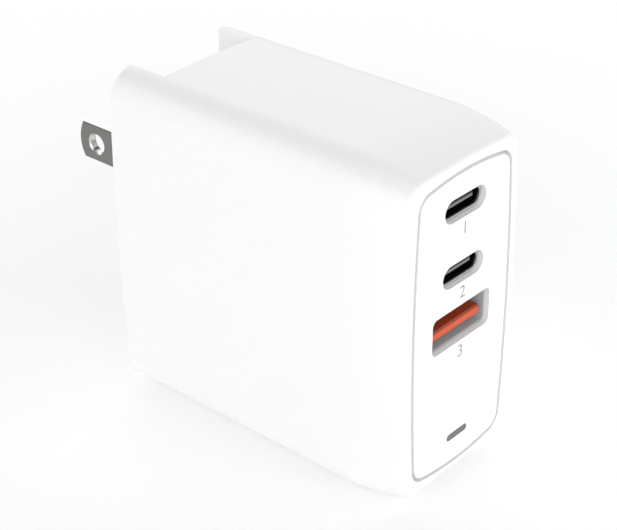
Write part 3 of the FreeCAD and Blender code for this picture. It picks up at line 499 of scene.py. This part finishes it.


# Blades: rolled darker faces, a painted highlight on the edges and the countersink, and a countersunk hole
blades = {
    "nodes": ("blade_left", "blade_right"),
    "holeFromTip": 4.0,
    "holeReach": 1.9,  # edges within this of the hole's middle are its rim
    "countersink": 0.22,
    "flatness": 0.6,  # the chamfers count as rolled face
    "holeFlatness": 0.95,  # the countersink doesn't
    # a brighter copy of the blade metal: painted highlight
    "paintedHighlightFinish": {"effect": "streak", "color": (0.68, 0.68, 0.665), "tone": 0.08, "gloss": (0.2, 0.32),
                   "stretch": (2500.0, 2500.0, 2500.0), "bump": 0.03, "metal": 1.0},
}
materials["blade_painted_highlight"] = makeFinish("bladePaintedHighlight", blades["paintedHighlightFinish"])


def refineBlade(node):
    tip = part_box(node)[1].y
    mesh, work = mergedCopy(node)
    holeY, holeZ = tip - blades["holeFromTip"] * mm, mountPlace["plug_blades"].z

    def nearHole(place):
        return math.hypot(place.y - holeY, place.z - holeZ) < blades["holeReach"] * mm

    rim = sharpEdges(work, nearHole)
    bmesh.ops.bevel(work, geom=rim, offset=blades["countersink"] * mm, offset_type="OFFSET", segments=1,
                    profile=0.5, affect="EDGES", clamp_overlap=True)
    work.normal_update()
    for face in work.faces:
        inHole = all(nearHole(vertex.co) for vertex in face.verts)
        flatness = blades["holeFlatness"] if inHole else blades["flatness"]
        # painted highlight: faces turned away from the broad sides get the brighter copy of the metal
        face.material_index = 0 if abs(face.normal.x) > flatness else 1
    fillMesh(mesh, work, ("blade_metal", "blade_painted_highlight"))
    smoothUpTo(mesh, meshWork["smoothAngle"])
    addPiece(node + "_rolled", mesh, "plug", node)
    return len(rim)


for node in blades["nodes"]:
    print(node, "countersunk on", refineBlade(node), "edges")

# Small ports: bare steel rim, near-black painted shade behind it, tongue front painted lighter with a painted
# highlight on its lower lip
smallPort = {
    "mounts": {1: "port_1", 2: "port_2"},
    "rim": 0.3,
    "lipTop": 0.06,  # above the tongue's middle
    "frontFacing": 0.9,
    # near black: painted shade inside the shell behind its rim
    "insideFinish": {"effect": "grain", "color": (0.004, 0.004, 0.004), "tone": 0.2, "gloss": (0.85, 0.95),
                     "grain": 5000.0, "bump": 0.05, "specular": 0.0},
    # painted light on the tongue's front face
    "faceFinish": {"effect": "grain", "color": (0.045, 0.045, 0.045), "tone": 0.1, "gloss": (0.5, 0.65),
                   "grain": 7000.0, "bump": 0.05, "specular": 0.2},
    # painted highlight on the tongue's lower lip
    "lipFinish": {"effect": "grain", "color": (0.2, 0.2, 0.2), "tone": 0.08, "gloss": (0.4, 0.55),
                  "grain": 7000.0, "bump": 0.05},
}
for part in ("inside", "face", "lip"):
    materials["small_port_" + part] = makeFinish("smallPort" + part.title(), smallPort[part + "Finish"])


def lineSmallShell(number, middle):
    node = f"usb_c_shell_{number}"
    mesh, work = mergedCopy(node)
    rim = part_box(node)[0].y + smallPort["rim"] * mm
    splitAcross(work, (0, rim, 0), (0, 1, 0))
    for face in work.faces:
        centre = face.calc_center_median()
        lean = Vector((-centre.x, 0.0, middle - centre.z)).dot(face.normal)
        inward = lean > meshWork["inwardLeast"] * mm
        # painted shade: inward faces behind the rim get the near-black finish
        face.material_index = 1 if inward and centre.y > rim else 0
    fillMesh(mesh, work, ("port_steel", "small_port_inside"))
    smoothUpTo(mesh, meshWork["smoothAngle"])
    addPiece(node + "_lined", mesh, "case", node)


def tipSmallTongue(number, middle):
    node = f"usb_c_tongue_{number}"
    mesh, work = mergedCopy(node)
    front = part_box(node)[0].y + meshWork["near"] * mm
    lipTop = middle + smallPort["lipTop"] * mm
    splitAcross(work, (0, 0, lipTop), (0, 0, 1))
    for face in work.faces:
        centre = face.calc_center_median()
        atFront = face.normal.y < -smallPort["frontFacing"] and centre.y < front
        # painted light: the front face above lipTop is lighter than the moulding, with a painted highlight
        # below it
        face.material_index = 0 if not atFront else 1 if centre.z > lipTop else 2
    fillMesh(mesh, work, ("dark_moulding", "small_port_face", "small_port_lip"))
    smoothUpTo(mesh, meshWork["smoothAngle"])
    addPiece(node + "_tipped", mesh, "case", node)


for number, mount in smallPort["mounts"].items():
    lineSmallShell(number, mountPlace[mount].z)
    tipSmallTongue(number, mountPlace[mount].z)
print("small ports lined")

# Panel with its plain port numbers printed in shallow recesses, and grey painted shade on the floor of its
# groove
panelPrint = {
    "drops": {"port_1": 3.6, "port_2": 3.6, "port_3": 4.9},
    "height": 2.0,
    "figureShare": 0.7,  # height of a figure in the type's size
    "recess": 0.04,
    "grooveCut": 0.9,
    "grooveDepth": 0.75,  # the groove's rounded floor reads shallower than its square cut
    "inkFinish": {"effect": "grain", "color": (0.36, 0.36, 0.36), "tone": 0.06, "gloss": (0.5, 0.6),
                  "grain": 9000.0, "bump": 0.05},
    # grey painted shade for the groove floor
    "grooveShadeFinish": {"effect": "grain", "color": (0.68, 0.68, 0.685), "tone": 0.02, "gloss": (0.6, 0.7),
                    "grain": 6000.0, "bump": 0.03},
}
materials["number_ink"] = makeFinish("numberInk", panelPrint["inkFinish"])
materials["groove_floor"] = makeFinish("groovePaintedShade", panelPrint["grooveShadeFinish"])


def evaluatedMesh(item):
    bpy.context.view_layer.update()
    return bpy.data.meshes.new_from_object(item.evaluated_get(bpy.context.evaluated_depsgraph_get()))


def numberCutter(number, mount, front):
    curve = bpy.data.curves.new(f"portNumber{number}", "FONT")
    curve.body = str(number)
    curve.size = panelPrint["height"] * mm / panelPrint["figureShare"]
    curve.align_x = "CENTER"
    curve.align_y = "CENTER"
    curve.extrude = panelPrint["recess"] * mm
    text = addObject(f"portNumber{number}", curve)
    mesh = evaluatedMesh(text)
    bpy.data.objects.remove(text)
    spot = mountPlace[mount]
    place = Vector((spot.x, front, spot.z - panelPrint["drops"][mount] * mm))
    mesh.transform(Matrix.Translation(place) @ Matrix.Rotation(math.pi / 2, 4, "X"))
    work = bmesh.new()
    work.from_mesh(mesh)
    mergeClose(work)
    mesh.materials.clear()
    fillMesh(mesh, work, ("number_ink",))
    return addObject(f"numberCutter{number}", mesh)


def printPanel():
    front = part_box("front_panel")[0].y
    grooveCut = front + panelPrint["grooveCut"] * mm
    mesh, work = mergedCopy("front_panel")
    deep = {vertex for vertex in work.verts if abs(vertex.co.y - grooveCut) < meshWork["near"] * mm}
    for vertex in deep:
        vertex.co.y = front + panelPrint["grooveDepth"] * mm
    for face in work.faces:
        # painted shade: faces of the groove floor get the grey finish
        face.material_index = 1 if deep.issuperset(face.verts) else 0
    fillMesh(mesh, work, ("white_panel", "groove_floor"))
    plain = addObject("plainPanel", mesh)
    cutters = []
    for number, mount in enumerate(panelPrint["drops"], 1):
        cutters.append(numberCutter(number, mount, front))
        cut = plain.modifiers.new(f"number{number}", "BOOLEAN")
        cut.operation = "DIFFERENCE"
        cut.solver = "EXACT"
        cut.material_mode = "TRANSFER"
        cut.object = cutters[-1]
    printed = evaluatedMesh(plain)
    for helper in (plain, *cutters):
        bpy.data.objects.remove(helper)
    smoothUpTo(printed, meshWork["smoothAngle"])
    addPiece("front_panel_printed", printed, "case", "front_panel")
    return len(printed.polygons)


print("panel printed,", printPanel(), "faces")


# Geometry Nodes for what repeats inside
def newTree(name, inputs):
    tree = bpy.data.node_groups.new(name, "GeometryNodeTree")
    tree.interface.new_socket("Points", in_out="INPUT", socket_type="NodeSocketGeometry")
    for label, kind, value in inputs:
        tree.interface.new_socket(label, in_out="INPUT", socket_type=kind).default_value = value
    tree.interface.new_socket("Finish", in_out="INPUT", socket_type="NodeSocketMaterial")
    tree.interface.new_socket("Pieces", in_out="OUTPUT", socket_type="NodeSocketGeometry")
    return tree, tree.nodes.new("NodeGroupInput").outputs, tree.nodes.new("NodeGroupOutput").inputs


def vectorOf(tree, x=0.0, y=0.0, z=0.0):
    return addNode(tree, "ShaderNodeCombineXYZ", {"X": x, "Y": y, "Z": z}).outputs["Vector"]


def product(tree, first, second):
    return mathNode(tree, "MULTIPLY", first, second)


def finishTree(tree, start, end, pieces):
    real = addNode(tree, "GeometryNodeRealizeInstances", {"Geometry": pieces})
    smooth = addNode(tree, "GeometryNodeSetShadeSmooth", {"Geometry": real.outputs["Geometry"]})
    finish = addNode(tree, "GeometryNodeSetMaterial", {
        "Geometry": smooth.outputs["Geometry"], "Material": start["Finish"]})
    tree.links.new(finish.outputs["Geometry"], end["Pieces"])


def growMesh(name, tree, values, points=()):
    mesh = bpy.data.meshes.new(name)
    mesh.from_pydata(list(points), [], [])
    holder = addObject(name, mesh)
    grower = holder.modifiers.new(name, "NODES")
    grower.node_group = tree
    for item in tree.interface.items_tree:
        if item.in_out == "INPUT" and item.name in values:
            grower[item.identifier] = values[item.name]
    grown = evaluatedMesh(holder)
    holder.modifiers.remove(grower)
    bpy.data.objects.remove(holder)
    return grown


# Choke: two fans of wire turns round the ring core
choke = {
    "turns": 10,
    "sweep": 120.0,
    "wire": 0.7,
    "fit": 0.02,
    "corner": 0.5,
    "cornerSteps": 4,
    "wireSides": 8,
}


def makeTurnsTree():
    tree, start, end = newTree("chokeTurns", [
        ("Turns", "NodeSocketInt", 10),
        ("Sweep", "NodeSocketFloat", 2.0),
        ("Ring Radius", "NodeSocketFloat", 0.004),
        ("Loop Width", "NodeSocketFloat", 0.003),
        ("Loop Height", "NodeSocketFloat", 0.005),
        ("Corner", "NodeSocketFloat", 0.0005),
        ("Wire Radius", "NodeSocketFloat", 0.0003),
    ])
    turns, radius = start["Turns"], start["Ring Radius"]
    index = addNode(tree, "GeometryNodeInputIndex").outputs["Index"]
    fan = mathNode(tree, "FLOOR", mathNode(tree, "DIVIDE", index, turns))
    place = mathNode(tree, "SUBTRACT", index, product(tree, fan, turns))
    share = mathNode(tree, "DIVIDE", place, mathNode(tree, "SUBTRACT", turns, 1.0))
    swing = product(tree, mathNode(tree, "SUBTRACT", share, 0.5), start["Sweep"])
    angle = mathNode(tree, "ADD", swing, product(tree, fan, math.pi))
    ring = vectorOf(tree, x=product(tree, mathNode(tree, "COSINE", angle), radius),
                    y=product(tree, mathNode(tree, "SINE", angle), radius))
    points = addNode(tree, "GeometryNodePoints", {"Count": product(tree, turns, 2.0), "Position": ring})
    loop = addNode(tree, "GeometryNodeCurvePrimitiveQuadrilateral", {
        "Width": start["Loop Width"], "Height": start["Loop Height"]})
    rounded = addNode(tree, "GeometryNodeFilletCurve", {
        "Curve": loop.outputs["Curve"], "Count": choke["cornerSteps"], "Limit Radius": True,
        "Radius": start["Corner"]}, mode="POLY")
    upright = addNode(tree, "GeometryNodeTransform", {
        "Geometry": rounded.outputs["Curve"], "Rotation": (math.pi / 2, 0, 0)})
    wire = addNode(tree, "GeometryNodeCurvePrimitiveCircle", {
        "Resolution": choke["wireSides"], "Radius": start["Wire Radius"]})
    swept = addNode(tree, "GeometryNodeCurveToMesh", {
        "Curve": upright.outputs["Geometry"], "Profile Curve": wire.outputs["Curve"]})
    wound = addNode(tree, "GeometryNodeInstanceOnPoints", {
        "Points": points.outputs["Points"], "Instance": swept.outputs["Mesh"],
        "Rotation": vectorOf(tree, z=angle)})
    finishTree(tree, start, end, wound.outputs["Instances"])
    return tree


def windChoke():
    low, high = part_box("choke_core")
    middle = (low + high) / 2
    spread = [math.hypot(vertex.co.y - middle.y, vertex.co.z - middle.z)
              for vertex in nodes["choke_core"].data.vertices]
    outer, inner = max(spread), min(spread)
    room = choke["wire"] / 2 * mm + choke["fit"] * mm
    mesh = growMesh("chokeTurns", makeTurnsTree(), {
        "Turns": choke["turns"], "Sweep": math.radians(choke["sweep"]), "Ring Radius": (outer + inner) / 2,
        "Loop Width": outer - inner + 2 * room, "Loop Height": high.x - low.x + 2 * room,
        "Corner": choke["corner"] * mm, "Wire Radius": choke["wire"] / 2 * mm,
        "Finish": materials["copper_wire"]})
    mesh.transform(Matrix.Translation(middle) @ Matrix.Rotation(math.pi / 2, 4, "Y"))
    addPiece("choke_winding_turns", mesh, "case", "choke_winding")
    return len(mesh.polygons)


print("choke wound,", windChoke(), "faces")

# Solder joints where leads come through the main board
solder = {
    "base": 0.75,
    "tip": 0.22,
    "height": 0.62,
    "waist": 0.45,  # how far the cone draws in at its middle
    "sides": 12,
    "rings": 4,
    "finish": {"effect": "grain", "color": (0.62, 0.63, 0.64), "tone": 0.1, "gloss": (0.18, 0.32),
               "grain": 2500.0, "bump": 0.1, "metal": 1.0},
    "pins": {  # for each part, where its pins stand in its own box, as shares of depth and height
        "transformer_bobbin": ((0.12, 0.08), (0.37, 0.08), (0.63, 0.08), (0.88, 0.08),
                               (0.12, 0.92), (0.88, 0.92)),
        "bulk_capacitor_1": ((0.25, 0.5), (0.75, 0.5)),
        "bulk_capacitor_2": ((0.25, 0.5), (0.75, 0.5)),
        "output_capacitor_1": ((0.5, 0.3), (0.5, 0.7)),
        "output_capacitor_2": ((0.5, 0.3), (0.5, 0.7)),
        "choke_winding": ((0.2, 0.2), (0.8, 0.2), (0.2, 0.8), (0.8, 0.8)),
        "x_capacitor": ((0.1, 0.5), (0.9, 0.5)),
        "y_capacitor": ((0.5, 0.12), (0.5, 0.88)),
        "fuse": ((0.2, 0.5), (0.8, 0.5)),
    },
}
materials["solder"] = makeFinish("solder", solder["finish"])


def makeSolderTree():
    tree, start, end = newTree("solderJoints", [
        ("Base", "NodeSocketFloat", 0.0007),
        ("Tip", "NodeSocketFloat", 0.0002),
        ("Height", "NodeSocketFloat", 0.0006),
        ("Waist", "NodeSocketFloat", 0.4),
    ])
    cone = addNode(tree, "GeometryNodeMeshCone", {
        "Vertices": solder["sides"], "Side Segments": solder["rings"], "Radius Top": start["Tip"],
        "Radius Bottom": start["Base"], "Depth": start["Height"]})
    position = addNode(tree, "GeometryNodeInputPosition").outputs["Position"]
    spot = addNode(tree, "ShaderNodeSeparateXYZ", {"Vector": position}).outputs
    rise = mathNode(tree, "DIVIDE", spot["Z"], start["Height"])
    bulge = product(tree, rise, mathNode(tree, "SUBTRACT", 1.0, rise))  # a quarter at mid-height
    drawn = mathNode(tree, "SUBTRACT", 1.0, product(tree, bulge, product(tree, start["Waist"], 4.0)))
    shaped = vectorOf(tree, x=product(tree, spot["X"], drawn), y=product(tree, spot["Y"], drawn), z=spot["Z"])
    fillet = addNode(tree, "GeometryNodeSetPosition", {"Geometry": cone.outputs["Mesh"], "Position": shaped})
    placed = addNode(tree, "GeometryNodeInstanceOnPoints", {
        "Points": start["Points"], "Instance": fillet.outputs["Geometry"], "Rotation": (0, math.pi / 2, 0)})
    finishTree(tree, start, end, placed.outputs["Instances"])
    return tree


def solderBoard():
    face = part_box("main_board")[1].x
    points = []
    for node, shares in solder["pins"].items():
        low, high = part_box(node)
        for depth, rise in shares:
            points.append((face, low.y + depth * (high.y - low.y), low.z + rise * (high.z - low.z)))
    mesh = growMesh("solderJoints", makeSolderTree(), {
        "Base": solder["base"] * mm, "Tip": solder["tip"] * mm, "Height": solder["height"] * mm,
        "Waist": solder["waist"], "Finish": materials["solder"]}, points)
    addPiece("solder_joints", mesh, "case")
    return len(points)


print("main board soldered at", solderBoard(), "pins")

# Bent leads of the board's flat packages
leads = {
    "reach": 0.9,
    "width": 0.45,
    "thickness": 0.16,
    "bendSteps": 10,
    "bendHandles": (0.6, 0.35),  # shares of the reach
    "packages": {  # node: leads on each side, pitch, side of the board
        "switch_chip": (4, 1.27, 1),
        "rectifier_chip": (4, 1.0, 1),
        "bridge_rectifier": (2, 2.54, -1),
    },
}


def makeLeadTree():
    tree, start, end = newTree("packageLeads", [
        ("Count", "NodeSocketInt", 4),
        ("Pitch", "NodeSocketFloat", 0.00127),
        ("Span", "NodeSocketFloat", 0.004),
        ("Reach", "NodeSocketFloat", 0.0009),
        ("Rise", "NodeSocketFloat", 0.0004),
        ("Width", "NodeSocketFloat", 0.0004),
        ("Thickness", "NodeSocketFloat", 0.00016),
    ])
    rise, foot = start["Rise"], product(tree, start["Thickness"], 0.5)
    leave, land = leads["bendHandles"]
    bend = addNode(tree, "GeometryNodeCurvePrimitiveBezierSegment", mode="POSITION")
    bend.inputs["Resolution"].default_value = leads["bendSteps"]
    for label, along, up in (("Start", 0.0, rise), ("Start Handle", leave, rise), ("End Handle", land, foot),
                             ("End", 1.0, foot)):
        feed(tree, vectorOf(tree, x=product(tree, start["Reach"], along), z=up), bend.inputs[label])
    upright = addNode(tree, "GeometryNodeSetCurveNormal", {
        "Curve": bend.outputs["Curve"], "Normal": (0, 1, 0)}, mode="FREE")
    strip = addNode(tree, "GeometryNodeCurvePrimitiveQuadrilateral", {
        "Width": start["Width"], "Height": start["Thickness"]})
    lead = addNode(tree, "GeometryNodeCurveToMesh", {
        "Curve": upright.outputs["Curve"], "Profile Curve": strip.outputs["Curve"], "Fill Caps": True})
    length = product(tree, mathNode(tree, "SUBTRACT", start["Count"], 1.0), start["Pitch"])
    row = addNode(tree, "GeometryNodeMeshLine", {
        "Count": start["Count"], "Offset": vectorOf(tree, y=start["Pitch"]),
        "Start Location": vectorOf(tree, x=product(tree, start["Span"], 0.5), y=product(tree, length, -0.5))})
    placed = addNode(tree, "GeometryNodeInstanceOnPoints", {
        "Points": row.outputs["Mesh"], "Instance": lead.outputs["Mesh"]}).outputs["Instances"]
    across = addNode(tree, "GeometryNodeTransform", {"Geometry": placed, "Rotation": (0, 0, math.pi)})
    both = addNode(tree, "GeometryNodeJoinGeometry", {"Geometry": placed})
    tree.links.new(across.outputs["Geometry"], both.inputs["Geometry"])
    finishTree(tree, start, end, both.outputs["Geometry"])
    return tree


def leadPackages():
    tree = makeLeadTree()
    for node, (count, pitch, side) in leads["packages"].items():
        low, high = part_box(node)
        mesh = growMesh(node + "Leads", tree, {
            "Count": count, "Pitch": pitch * mm, "Span": high.y - low.y, "Reach": leads["reach"] * mm,
            "Rise": (high.x - low.x) / 2, "Width": leads["width"] * mm, "Thickness": leads["thickness"] * mm,
            "Finish": materials["solder"]})
        seat = Vector((low.x if side > 0 else high.x, (low.y + high.y) / 2, (low.z + high.z) / 2))
        turn = Matrix(((0, 0, side), (1, 0, 0), (0, side, 0))).to_4x4()
        mesh.transform(Matrix.Translation(seat) @ turn)
        addPiece(node + "_leads", mesh, "case")


leadPackages()
print("leads bent for", len(leads["packages"]), "packages")

# Capacitor cans, turned: rubber seal, bead, rolled rim and a scored vent
cans = {
    "nodes": ("bulk_capacitor_1", "bulk_capacitor_2", "output_capacitor_1", "output_capacitor_2"),
    "segments": 40,
    "outline": (  # millimetres from the board, or from the top where below 0, share of the radius, finish
        (0.0, 0.0, 2), (0.0, 0.78, 2), (0.35, 0.82, 2), (0.5, 0.93, 0), (0.9, 1.0, 0), (1.6, 1.0, 0),
        (1.85, 0.965, 0), (2.1, 0.95, 0), (2.35, 0.965, 0), (2.6, 1.0, 0), (-0.7, 1.0, 0), (-0.35, 0.985, 0),
        (-0.1, 0.94, 0), (-1e-6, 0.88, 0), (-0.12, 0.84, 1), (-0.2, 0.8, 1), (-0.2, 0.0, 1)),
    "vent": {"inner": 0.08, "outer": 0.72, "gap": 9.0, "rise": 0.1, "drop": 0.2, "petals": 4, "arcSteps": 8},
    "smoothAngle": 32.0,
}


def turnCan(node):
    low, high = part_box(node)
    tall = high.x - low.x
    radius = (high.y - low.y) / 2
    count = cans["segments"]
    middleY, middleZ = (low.y + high.y) / 2, (low.z + high.z) / 2
    work = bmesh.new()

    def spot(along, share, angle):
        offsetY = radius * share * math.cos(angle)
        offsetZ = radius * share * math.sin(angle)
        return work.verts.new((high.x - along, middleY + offsetY, middleZ + offsetZ))

    rings = []
    for along, share, finish in cans["outline"]:
        place = along * mm if along >= 0 else tall + along * mm
        angles = [math.tau * step / count for step in range(count)] if share else [0.0]
        rings.append(([spot(place, share, angle) for angle in angles], finish))
    for (first, _), (second, finish) in zip(rings, rings[1:]):
        for step in range(count):
            after = (step + 1) % count
            if len(first) == 1:
                face = work.faces.new((first[0], second[step], second[after]))
            elif len(second) == 1:
                face = work.faces.new((first[step], second[0], first[after]))
            else:
                face = work.faces.new((first[step], second[step], second[after], first[after]))
            face.material_index = finish
    vent = cans["vent"]
    floor = tall - vent["drop"] * mm
    gap = math.radians(vent["gap"])
    turn = math.tau / vent["petals"]
    sweep = turn - 2 * gap
    for petal in range(vent["petals"]):
        start = turn * petal + gap
        arc = [start + sweep * step / vent["arcSteps"] for step in range(vent["arcSteps"] + 1)]
        outline = [(vent["inner"], start + sweep / 2)] + [(vent["outer"], angle) for angle in arc]
        lower = [spot(floor, share, angle) for share, angle in outline]
        upper = [spot(floor + vent["rise"] * mm, share, angle) for share, angle in outline]
        sides = [work.faces.new(upper), work.faces.new(lower[::-1])]
        for step in range(len(outline)):
            after = (step + 1) % len(outline)
            sides.append(work.faces.new((lower[step], lower[after], upper[after], upper[step])))
        for face in sides:
            face.material_index = 1
    bmesh.ops.recalc_face_normals(work, faces=work.faces)
    mesh = bpy.data.meshes.new(node + "Can")
    fillMesh(mesh, work, (nodeSlot[node], "capacitor_can", "dark_moulding"))
    smoothUpTo(mesh, cans["smoothAngle"])
    addPiece(node + "_can", mesh, "case", node)


for node in cans["nodes"]:
    turnCan(node)
print("capacitor cans turned")
